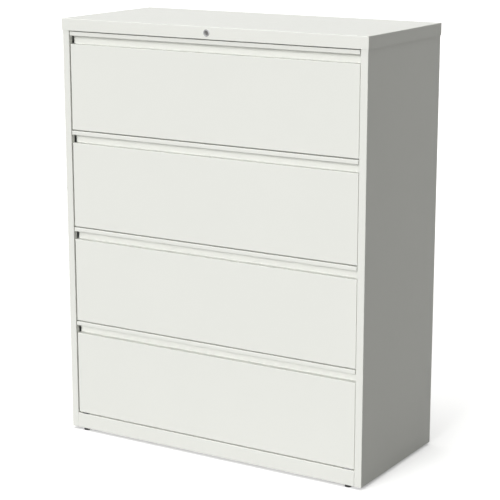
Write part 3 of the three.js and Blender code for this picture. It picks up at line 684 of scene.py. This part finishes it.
for side, sign in SIDES:
    for kind, size in CHANNELS.items():
        node = f"drawer_1_{side}_{kind}_channel"
        low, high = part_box(node)
        if kind == "drawer":
            web, tip = size["near"] + STRIP / 2, size["far"]
        else:
            web, tip = size["far"] - STRIP / 2, size["near"]
        edge = size["half_height"] - STRIP / 2
        web_x = sign * (tub_half + web)
        strip = flat_sheet(f"drawer_1_{side}_{kind}_strip", (web_x, low.y, slide_z - edge),
                           (0, high.y - low.y, 0), (0, 0, 2 * edge))
        for z in (slide_z - edge, slide_z + edge):
            fold(strip, lambda p: at(p.z, z), (sign * (tip - web), 0, 0))
        round_bends(strip, STRIP_BEND)
        thicken(strip, STRIP)
        if kind != "drawer":
            for y in along_channel(node):
                cut_away(strip, pin(RIVET_HOLE, (web_x, y, slide_z), turn=(0, math.pi / 2, 0)))
        break_edges(strip, STRIP_EDGE)
        repeat_down(strip, zinc, MOVES_WITH[kind], "zinc_steel", node.replace("_1_", "_{}_"))

# Hooks on the cabinet channels: steel lugs welded to the back of the channel, each
# with a notch that drops over the edge of a slot in the upright.
HOOK = 2.5 * MM
HOOK_HALF = 6 * MM
HOOK_REACH = 4.3 * MM
NOTCH_START = 0.8 * MM
NOTCH_END = 2.4 * MM
NOTCH_TOP = 1.5 * MM
for side, sign in SIDES:
    for end in ENDS:
        upright_low, upright_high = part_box(f"left_{end}_upright")
        root = sign * (tub_half + CHANNELS["cabinet"]["far"])
        y = (upright_low.y + upright_high.y) / 2
        hook = flat_sheet(f"drawer_1_{side}_{end}_hook", (root, y, slide_z - HOOK_HALF),
                          (sign * HOOK_REACH, 0, 0), (0, 0, 2 * HOOK_HALF))
        for reach in (NOTCH_START, NOTCH_END):
            split(x=root + sign * reach)
        split(z=slide_z - NOTCH_TOP)
        remove_faces(hook, lambda p: NOTCH_START < sign * (p.x - root) < NOTCH_END
                     and p.z < slide_z - NOTCH_TOP)
        close_sheet(hook, HOOK)
        repeat_down(hook, zinc, "case", "zinc_steel")

# Ball cages: thin steel strips bent round the middle channel, punched with a window
# for each ball. The rear cage runs in the cabinet channel, the front one on the
# drawer channel, and both keep the balls apart.
CAGE_SHEET = 0.6 * MM
CAGE_BEND = 0.6 * MM
CAGE_LENGTH = 185 * MM
CAGE_FROM_MIDDLE = 5 * MM
CAGES = {"rear": {"tip": 3.2 * MM, "web": 11.85 * MM, "ball": 6.2 * MM, "level": 19.25 * MM},
         "front": {"tip": 2.5 * MM, "web": 8.25 * MM, "ball": 5.2 * MM, "level": 13.25 * MM}}
WINDOW = 4.6 * MM
BALL = 2.2 * MM
BALLS = 15
BALL_RINGS = 6
BALL_SIDES = 10
ball_angles = [math.pi * (ring + 0.5) / BALL_RINGS for ring in range(BALL_RINGS)]
ball_rings = [(BALL * math.sin(angle), -BALL * math.cos(angle)) for angle in ball_angles]
ball = turned("ball", ball_rings, BALL_SIDES)
break_edges(ball, edge=0)


def gather(shape, name, places):
    """One piece made of copies of a shape, one at each place."""
    bpy.ops.object.select_all(action="DESELECT")
    for place in places:
        other = copy_piece(shape, shape.name, place)
        other.select_set(True)
        bpy.context.view_layer.objects.active = other
    bpy.ops.object.join()
    piece = bpy.context.object
    piece.name = piece.data.name = name
    return piece


channel_low, channel_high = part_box("drawer_1_left_middle_channel")
slide_middle = (channel_low.y + channel_high.y) / 2
cage_starts = {"rear": slide_middle + CAGE_FROM_MIDDLE,
               "front": slide_middle - CAGE_FROM_MIDDLE - CAGE_LENGTH}
row = CAGE_LENGTH / (2 * BALLS + 1)
for side, sign in SIDES:
    for end, cage_size in CAGES.items():
        tip, web, level = cage_size["tip"], cage_size["web"], cage_size["level"]
        start = cage_starts[end]
        window = (cage_size["ball"] - WINDOW / 2 - tip, cage_size["ball"] + WINDOW / 2 - tip)
        cage = punched_strip(f"drawer_1_{side}_{end}_ball_cage", (sign * (tub_half + tip), start, level),
                             (sign * (web - tip), 0, 0), (0, CAGE_LENGTH, 0), window, BALLS)
        fold(cage, lambda p: at(abs(p.x), tub_half + web), (0, 0, -level))
        round_bends(cage, CAGE_BEND, steps=3)
        bpy.ops.object.mode_set(mode="OBJECT")
        add_modifier(cage, "MIRROR", use_axis=(False, False, True), use_clip=True)
        bpy.ops.object.mode_set(mode="EDIT")
        close_sheet(cage, CAGE_SHEET, edge=0)
        set_at(cage, Matrix.Translation((0, 0, slide_z)))
        repeat_down(cage, zinc, MOVES_WITH["middle"], "zinc_steel")
        ball_x = sign * (tub_half + cage_size["ball"])
        ball_rows = [start + (FIRST_WINDOW + 2 * number) * row for number in range(BALLS)]
        places = [Matrix.Translation((ball_x, y, slide_z + up * level)) for y in ball_rows for up in (-1, 1)]
        balls = gather(ball, f"drawer_1_{side}_{end}_balls", places)
        repeat_down(balls, zinc, MOVES_WITH["middle"], "zinc_steel")
bpy.data.objects.remove(ball, do_unlink=True)

# Drawer tubs: a pan bent up from one sheet and welded at its corners, with a tall
# front wall that the drawer front is screwed to, a ledge for hanging folders
# along that wall, and a bracket on the right that the lock's catch holds.
SIDE_TOP = 242 * MM
BACK_HEM = 8 * MM
tub_low, tub_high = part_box("drawer_1_tub")
x_left, x_right = -tub_half + half, tub_half - half
y_front, y_back = tub_low.y + half, tub_high.y - half
floor_z, side_z = tub_low.z + half, tub_low.z + SIDE_TOP
tub = flat_sheet("drawer_1_tub_pan", (x_left, y_front, floor_z), (x_right - x_left, 0, 0),
                 (0, y_back - y_front, 0))
for on_wall in (lambda p: at(p.x, x_left), lambda p: at(p.x, x_right),
                lambda p: at(p.y, y_front), lambda p: at(p.y, y_back)):
    fold(tub, lambda p: at(p.z, floor_z) and on_wall(p), (0, 0, side_z - floor_z))
bpy.ops.mesh.select_all(action="SELECT")
bpy.ops.mesh.remove_doubles(threshold=TOUCHING)
fold(tub, lambda p: at(p.z, side_z) and at(p.y, y_front), (0, 0, tub_high.z - side_z))
fold(tub, lambda p: at(p.z, side_z) and at(p.y, y_back), (0, -BACK_HEM, 0))
round_bends(tub, BEND)
close_sheet(tub)
repeat_down(tub, white_paint, MOVES_WITH["drawer"], "white_paint", "drawer_{}_tub")

LEDGE = 1.5 * MM
LEDGE_HALF = 478 * MM
LEDGE_HEIGHT = 14 * MM
LEDGE_REACH = 5.5 * MM
RAIL_LIFT = 4 * MM
wall_y = tub_low.y + SHEET
ledge_y = wall_y + LEDGE_REACH - LEDGE / 2
ledge_top = side_z + RAIL_LIFT
ledge_low = ledge_top - LEDGE_HEIGHT + LEDGE / 2
ledge = flat_sheet("drawer_1_folder_ledge", (-LEDGE_HALF, ledge_y, ledge_low), (2 * LEDGE_HALF, 0, 0),
                   (0, 0, ledge_top - ledge_low))
fold(ledge, lambda p: at(p.z, ledge_low), (0, wall_y - ledge_y, 0))
round_bends(ledge, STRIP_BEND)
close_sheet(ledge, LEDGE)
repeat_down(ledge, white_paint, MOVES_WITH["drawer"], "white_paint")

STRIKE = 2 * MM
STRIKE_BEND = 1.6 * MM
STRIKE_Y = -206 * MM
STRIKE_BOTTOM = 186 * MM
STRIKE_HEIGHT = 12 * MM
STRIKE_LEG = 18 * MM
strike_x = tub_half + STRIKE / 2
strike = flat_sheet("drawer_1_lock_strike", (strike_x, STRIKE_Y, tub_low.z + STRIKE_BOTTOM),
                    (tub_high.x - strike_x, 0, 0), (0, 0, STRIKE_HEIGHT))
fold(strike, lambda p: at(p.x, strike_x), (0, STRIKE_LEG, 0))
round_bends(strike, STRIKE_BEND)
close_sheet(strike, STRIKE)
repeat_down(strike, white_paint, MOVES_WITH["drawer"], "white_paint")

# Hanging rails: a zinc-plated strip stood on edge across the rear of each tub. A
# saddle welded to each end hooks over the tub's side, so the rail lifts out.
RAIL_EDGE = 0.4 * MM
RAIL_END_ROOM = 1.5 * MM
SADDLE_LAP = 3 * MM
SADDLE_ROOM = 0.3 * MM
SADDLE_BEND = 1.2 * MM
SADDLE_EDGE = 0.3 * MM
SADDLE_END = 2 * MM
low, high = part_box("drawer_1_hang_rail")
rail_y = (low.y + high.y) / 2
rail_half = tub_half - RAIL_END_ROOM
rail = flat_sheet("drawer_1_hang_rail_strip", (-rail_half, rail_y, high.z - LEDGE_HEIGHT),
                  (2 * rail_half, 0, 0), (0, 0, LEDGE_HEIGHT))
close_sheet(rail, LEDGE, RAIL_EDGE)
repeat_down(rail, zinc, MOVES_WITH["drawer"], "zinc_steel", "drawer_{}_hang_rail")
saddle_z = side_z + SADDLE_ROOM + LEDGE / 2
for side, sign in SIDES:
    outside = sign * (high.x - LEDGE / 2)
    start = sign * (rail_half - SADDLE_LAP)
    saddle = flat_sheet(f"drawer_1_{side}_rail_saddle", (start, low.y, saddle_z), (outside - start, 0, 0),
                        (0, high.y - low.y, 0))
    fold(saddle, lambda p: at(p.x, outside), (0, 0, low.z + SADDLE_END - saddle_z))
    round_bends(saddle, SADDLE_BEND)
    close_sheet(saddle, LEDGE, SADDLE_EDGE)
    repeat_down(saddle, zinc, MOVES_WITH["drawer"], "zinc_steel")

# Drawer fronts: one sheet each. From the hemmed lip it runs back over the top,
# down the back of the finger pull, forward along its floor and down the face,
# and ends in a flange below. Short returns stiffen both sides of the face.
LIP = 12.5 * MM
LIP_HEM = 8 * MM
HEM_GAP = 2.1 * MM
PULL = 38.6 * MM
FACE_BACK = 2.2 * MM
RETURN = 14.6 * MM
RETURN_BEND = 0.9 * MM
RELIEF = 2 * MM
low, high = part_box("drawer_1_front")
width = high.x - low.x
face_y = low.y + FACE_BACK + half
lip_y = low.y + half
pull_y = high.y - half
pull_floor = high.z - PULL - half
lip_top = high.z - half
lip_bottom = high.z - LIP + half
face_bottom = low.z + half
return_top = pull_floor - half - RELIEF
front = flat_sheet("drawer_1_front_skin", (low.x, face_y, face_bottom), (width, 0, 0),
                   (0, 0, pull_floor - face_bottom))
split(z=return_top)
fold(front, lambda p: at(p.z, pull_floor), (0, pull_y - face_y, 0), (0, 0, lip_top - pull_floor),
     (0, lip_y - pull_y, 0), (0, 0, lip_bottom - lip_top), (0, HEM_GAP, 0), (0, 0, LIP_HEM))
fold(front, lambda p: at(p.z, face_bottom), (0, high.y - face_y, 0))
for x, inwards in ((low.x, 1), (high.x, -1)):
    pick_edges(front, lambda p: at(p.x, x) and at(p.y, face_y) and low.z + SHEET < p.z < return_top)
    bpy.ops.transform.translate(value=(inwards * half, 0, 0))
    bpy.ops.mesh.extrude_region_move(TRANSFORM_OT_translate={"value": (0, RETURN, 0)})
round_bends(front, HEM_GAP / 2 - NEAR, lambda p: at(p.z, lip_bottom))
round_bends(front, BEND, lambda p: abs(p.x) < width / 2 - SHEET)
round_bends(front, RETURN_BEND, lambda p: abs(p.x) > width / 2 - SHEET and at(p.y, face_y))
close_sheet(front)
repeat_down(front, white_paint, MOVES_WITH["drawer"], "white_paint", "drawer_{}_front")

# Screws: zinc-plated pan heads with a cross recess. Five hold each drawer front to
# its tub's front wall, and three hold each drawer channel to the tub's side.
SCREW_HEAD = ((4, 0), (4, 0.7), (3.7, 1.35), (3, 1.8), (1.8, 2.05))
SCREW_SIDES = 20
RECESS = (3.6 * MM, 0.8 * MM, 2.4 * MM)
FRONT_SCREWS = (-430 * MM, -215 * MM, 0, 215 * MM, 430 * MM)
FRONT_SCREW_HEIGHT = 285 * MM
screw = turned("pan_head", in_mm(SCREW_HEAD), SCREW_SIDES)
end_shaping()
for turn in (0, math.pi / 2):
    cut_away(screw, block("recess", (0, 0, SCREW_HEAD[-1][1] * MM), RECESS, turn))
break_edges(screw, edge=0)
to_rear = Matrix.Rotation(-math.pi / 2, 4, "X")
screw_z = front_bottoms[0] + FRONT_SCREW_HEIGHT
places = [Matrix.Translation((x, wall_y, screw_z)) @ to_rear for x in FRONT_SCREWS]
repeat_down(gather(screw, "drawer_1_front_screws", places), zinc, MOVES_WITH["drawer"], "zinc_steel")
for side, sign in SIDES:
    seat = sign * (tub_half + CHANNELS["drawer"]["near"] + STRIP)
    outwards = Matrix.Rotation(sign * math.pi / 2, 4, "Y")
    spots = along_channel(f"drawer_1_{side}_drawer_channel")
    places = [Matrix.Translation((seat, y, slide_z)) @ outwards for y in spots]
    channel_screws = gather(screw, f"drawer_1_{side}_channel_screws", places)
    repeat_down(channel_screws, zinc, MOVES_WITH["drawer"], "zinc_steel")
bpy.data.objects.remove(screw, do_unlink=True)

# Screw feet: a glide of black nylon moulded on an M8 stem of zinc-plated steel. The
# stem runs through the weld nut, with a slot in its top for the screwdriver.
NYLON_DARK = (0.012, 0.012, 0.012)
NYLON_LIGHT = (0.022, 0.022, 0.023)
nylon, place, shader = new_material("black_nylon")
grain = noise(nylon, place, scale=1400)
connect(nylon, shader, Base_Color=mix_colours(nylon, grain, NYLON_DARK, NYLON_LIGHT),
        Roughness=spread(nylon, grain, low=0.42, high=0.56))
bump(nylon, shader, grain, strength=0.2, distance=0.05 * MM)

GLIDE = ((8.6, 0), (9.7, 0.25), (10.45, 0.9), (10.75, 1.8), (10.75, 4.2), (10.4, 4.9), (9.4, 5.4), (7.2, 6.3),
         (6.4, 6.5))
STEM_SIDES = 24
STEM_START = (4, 6.4)
STEM_TIP = ((4, 44.4), (3.3, 45))
THREAD_START = 6.5
THREAD_PITCH = 1.25
THREAD_TURNS = 30
THREAD_FORM = ((4, 0.15), (3.4, 0.6), (3.4, 0.75), (4, 1.2))
DRIVER_SLOT = (12 * MM, 1.3 * MM, 4 * MM)
glide = turned("glide", in_mm(GLIDE))
break_edges(glide, edge=0)
stem_rings = [STEM_START]
for turn in range(THREAD_TURNS):
    level = THREAD_START + turn * THREAD_PITCH
    stem_rings += [(radius, level + rise) for radius, rise in THREAD_FORM]
stem_rings += STEM_TIP
stem = turned("stem", in_mm(stem_rings), STEM_SIDES)
end_shaping()
cut_away(stem, block("driver_slot", (0, 0, STEM_TIP[-1][1] * MM), DRIVER_SLOT))
break_edges(stem, edge=0)
for side, _ in SIDES:
    for end in ENDS:
        foot = f"{side}_{end}_foot"
        low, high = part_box(foot)
        spot = Matrix.Translation(((low.x + high.x) / 2, (low.y + high.y) / 2, low.z))
        dress(copy_piece(glide, f"{side}_{end}_glide", spot), nylon, f"{foot}_screw", "foot_nylon", foot)
        dress(copy_piece(stem, f"{side}_{end}_stem", spot), zinc, f"{foot}_screw", "zinc_steel")
bpy.data.objects.remove(glide, do_unlink=True)
bpy.data.objects.remove(stem, do_unlink=True)

# Studio: a white floor that keeps the cabinet's shadow, a broad low key light in
# front, a softer one overhead, a weak fill from the right, and a long lens.
FLOOR_SIZE = 80
FLOOR_GLOW = 0.36
AMBIENT = (0.19, 0.19, 0.18)
WHITE = (1, 1, 1)
LAMPS = (("key", 0.77, 30, (-0.1, -0.95, 0.29)),
         ("overhead", 0.5, 40, (-0.12, -0.1, 0.99)),
         ("side_fill", 0.072, 50, (0.8, 0.6, 0.1)))
CAMERA_PLACE = (2.599, -4.24, 1.787)
YAW = math.radians(31.46)
PITCH = math.radians(13.25)
LENS = 117.1


def background_share(material):
    """1 for rays from the camera, mirrors and glass, and 0 for the light that falls on the object."""
    path = add_node(material, "ShaderNodeLightPath")
    share = path.outputs["Is Camera Ray"]
    for ray in ("Is Glossy Ray", "Is Transmission Ray"):
        either = add_node(material, "ShaderNodeMath", {"operation": "MAXIMUM"})
        material.node_tree.links.new(share, either.inputs[0])
        material.node_tree.links.new(path.outputs[ray], either.inputs[1])
        share = either.outputs[0]
    return share


bpy.ops.object.select_all(action="DESELECT")
bpy.ops.mesh.primitive_plane_add(size=FLOOR_SIZE)
floor = bpy.context.object
floor.name = "floor"
floor_paint = bpy.data.materials.new("white_floor")
floor_paint.use_nodes = True
seen = background_share(floor_paint)
connect(floor_paint, floor_paint.node_tree.nodes["Principled BSDF"], Roughness=1, Specular_IOR_Level=0,
        Base_Color=mix_colours(floor_paint, seen, AMBIENT, WHITE), Emission_Color=(*WHITE, 1),
        Emission_Strength=spread(floor_paint, seen, low=0, high=FLOOR_GLOW, start=0, end=1))
floor.data.materials.append(floor_paint)

world = bpy.data.worlds.new("studio")
bpy.context.scene.world = world
world.use_nodes = True
sky = mix_colours(world, background_share(world), AMBIENT, WHITE)
connect(world, world.node_tree.nodes["Background"], Color=sky)

for name, strength, angle, towards in LAMPS:
    bpy.ops.object.light_add(type="SUN")
    lamp = bpy.context.object
    lamp.name = name
    lamp.data.energy = strength * math.pi
    lamp.data.angle = math.radians(angle)
    lamp.rotation_euler = Vector(towards).to_track_quat("Z", "Y").to_euler()

bpy.ops.object.camera_add(location=CAMERA_PLACE, rotation=(math.pi / 2 - PITCH, 0, YAW))
camera = bpy.context.object
camera.data.lens = LENS
bpy.context.scene.camera = camera
bpy.context.scene.view_settings.view_transform = "Standard"
